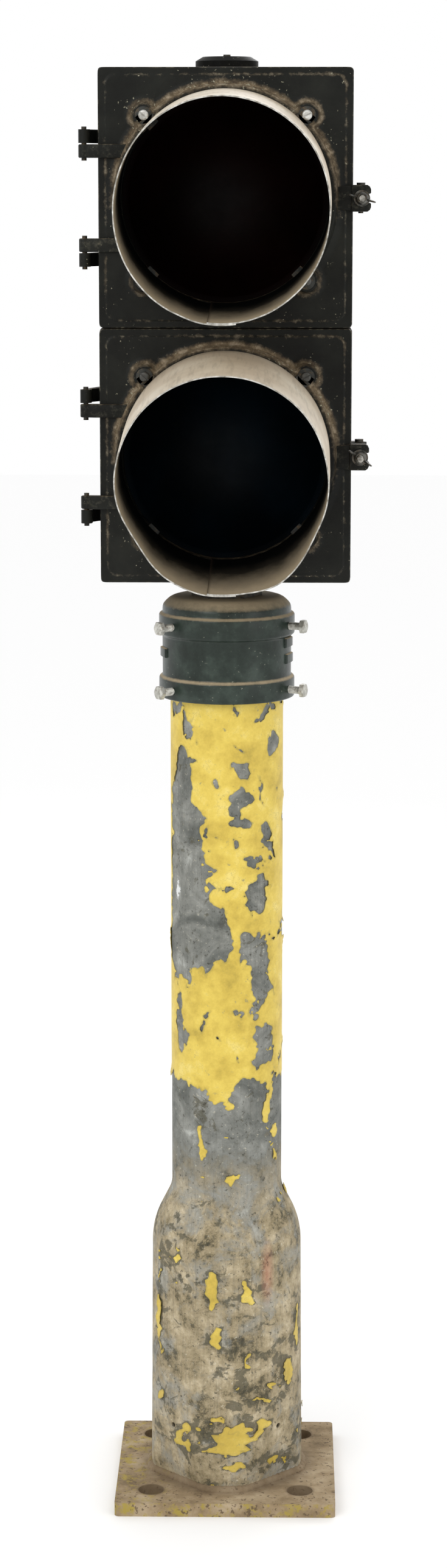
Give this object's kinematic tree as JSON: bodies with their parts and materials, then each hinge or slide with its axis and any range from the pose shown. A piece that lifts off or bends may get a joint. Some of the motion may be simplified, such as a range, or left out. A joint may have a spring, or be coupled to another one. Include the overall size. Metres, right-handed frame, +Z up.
{
  "type": "signal head on post",
  "caption": "Two-section lens signal head with tunnel visors on a short belled post with a square anchor plate.",
  "frame": {"origin": "centre of the anchor plate's underside, on the post's axis", "axes": "+Z up the post, -Y the way the signal faces, +X to the viewer's right"},
  "size_m": [0.2883, 0.4046, 1.4803],
  "materials": {
    "plate_steel": "weathered galvanised steel with dirt and traces of yellow paint",
    "weld": "rough weld bead under dirt and old paint",
    "post_paint": "peeling yellow road paint over galvanised steel",
    "collar_enamel": "dark green enamel over a casting",
    "zinc_steel": "dull zinc plate",
    "cap_enamel": "dark green enamel over cast aluminium",
    "seal_rubber": "aged black rubber",
    "terminal_phenolic": "moulded phenolic",
    "head_enamel": "worn olive-black enamel over cast aluminium",
    "brass_pin": "brass pin under old paint",
    "latch_brass": "tarnished brass with paint traces",
    "visor_sheet": "chalked beige-grey paint over sheet, black deep inside",
    "frame_sheet": "plain plated sheet",
    "mirror_aluminium": "bright anodised aluminium",
    "socket_phenolic": "moulded brown phenolic",
    "lamp_glass": "clear lamp glass",
    "red_glass": "deep red signal glass",
    "green_glass": "deep blue-green signal glass"
  },
  "bodies": {
    "post": {"base_plate": "plate_steel", "foot_weld": "weld", "post_shaft": "post_paint"},
    "head": {"slip_collar": "collar_enamel", "upper_set_screws": "zinc_steel", "lower_set_screws": "zinc_steel", "neck_nipple": "zinc_steel", "neck_lock_nuts": "zinc_steel", "neck_toothed_ring": "zinc_steel", "section_tie_washers": "zinc_steel", "section_tie_bolts": "zinc_steel", "section_tie_nuts": "zinc_steel", "closure_cap": "cap_enamel", "closure_gasket": "seal_rubber", "closure_bar": "zinc_steel", "closure_screw": "zinc_steel", "terminal_block": "terminal_phenolic", "terminal_screws": "zinc_steel", "lower_housing": "head_enamel", "lower_hinge_pins": "brass_pin", "lower_door_gasket": "seal_rubber", "lower_latch_pivot_pin": "brass_pin", "lower_reflector_frame": "frame_sheet", "lower_reflector_screws": "zinc_steel", "lower_reflector": "mirror_aluminium", "lower_lamp_socket": "socket_phenolic", "lower_lamp": "lamp_glass", "upper_housing": "head_enamel", "upper_hinge_pins": "brass_pin", "upper_door_gasket": "seal_rubber", "upper_latch_pivot_pin": "brass_pin", "upper_reflector_frame": "frame_sheet", "upper_reflector_screws": "zinc_steel", "upper_reflector": "mirror_aluminium", "upper_lamp_socket": "socket_phenolic", "upper_lamp": "lamp_glass"},
    "lower_door": {"lower_door": "head_enamel", "lower_lens": "green_glass", "lower_lens_seal": "seal_rubber", "lower_lens_clips": "zinc_steel", "lower_lens_clip_screws": "zinc_steel", "lower_visor": "visor_sheet", "lower_visor_screws": "zinc_steel"},
    "lower_latch": {"lower_latch_stud": "latch_brass"},
    "lower_washer": {"lower_latch_washer": "zinc_steel"},
    "lower_nut": {"lower_wing_nut": "latch_brass"},
    "upper_door": {"upper_door": "head_enamel", "upper_lens": "red_glass", "upper_lens_seal": "seal_rubber", "upper_lens_clips": "zinc_steel", "upper_lens_clip_screws": "zinc_steel", "upper_visor": "visor_sheet", "upper_visor_screws": "zinc_steel"},
    "upper_latch": {"upper_latch_stud": "latch_brass"},
    "upper_washer": {"upper_latch_washer": "zinc_steel"},
    "upper_nut": {"upper_wing_nut": "latch_brass"}
  },
  "joints": [
    {"name": "head_aim", "type": "hinge", "parent": "post", "child": "head", "pos_m": [0, 0, 0.9], "axis": [0, 0, 1], "continuous": true},
    {"name": "lower_door_swing", "type": "hinge", "parent": "head", "child": "lower_door", "pos_m": [-0.137, -0.08, 1.0915], "axis": [0, 0, -1], "range_deg": [0, 110]},
    {"name": "lower_latch_swing", "type": "hinge", "parent": "head", "child": "lower_latch", "pos_m": [0.132, -0.046, 1.0915], "axis": [0, 0, 1], "range_deg": [0, 100]},
    {"name": "lower_washer_travel", "type": "slide", "parent": "lower_latch", "child": "lower_washer", "axis": [0, -1, 0], "range_m": [0, 0.004]},
    {"name": "lower_nut_spin", "type": "hinge", "parent": "lower_washer", "child": "lower_nut", "pos_m": [0.132, -0.095, 1.0915], "axis": [0, -1, 0], "range_deg": [0, 1080]},
    {"name": "upper_door_swing", "type": "hinge", "parent": "head", "child": "upper_door", "pos_m": [-0.137, -0.08, 1.3415], "axis": [0, 0, -1], "range_deg": [0, 110]},
    {"name": "upper_latch_swing", "type": "hinge", "parent": "head", "child": "upper_latch", "pos_m": [0.132, -0.046, 1.3415], "axis": [0, 0, 1], "range_deg": [0, 100]},
    {"name": "upper_washer_travel", "type": "slide", "parent": "upper_latch", "child": "upper_washer", "axis": [0, -1, 0], "range_m": [0, 0.004]},
    {"name": "upper_nut_spin", "type": "hinge", "parent": "upper_washer", "child": "upper_nut", "pos_m": [0.132, -0.095, 1.3415], "axis": [0, -1, 0], "range_deg": [0, 1080]}
  ],
  "couplings": [
    {"joint": "lower_washer_travel", "follows": "lower_nut_spin", "m_per_rad": 0.00020213},
    {"joint": "upper_washer_travel", "follows": "upper_nut_spin", "m_per_rad": 0.00020213}
  ]
}
